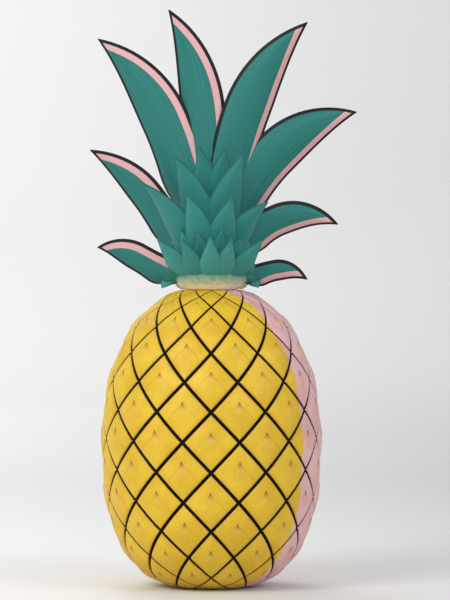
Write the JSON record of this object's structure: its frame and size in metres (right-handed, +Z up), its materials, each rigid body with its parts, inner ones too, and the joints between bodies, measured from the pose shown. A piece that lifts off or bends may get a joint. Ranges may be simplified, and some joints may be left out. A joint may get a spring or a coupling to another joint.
{
  "type": "pineapple",
  "caption": "Whole ripe pineapple standing on its foot, with a lattice of raised eyes, a crown of long arched leaves and a cut stalk end.",
  "frame": {"origin": "on the fruit's axis, at the flat face of its foot, where the stalk is cut off level with it", "axes": "+Z up along the fruit's axis, from the foot to the crown; -Y is the front, where corners of eyes stand one above the other"},
  "size_m": [0.157, 0.13, 0.3385],
  "materials": {
    "fruit_skin": "satin",
    "crown_leaf": "satin",
    "stalk_end": "matte"
  },
  "bodies": {
    "root": {"fruit": "fruit_skin", "crown": "crown_leaf", "stalk": "stalk_end"}
  },
  "joints": []
}
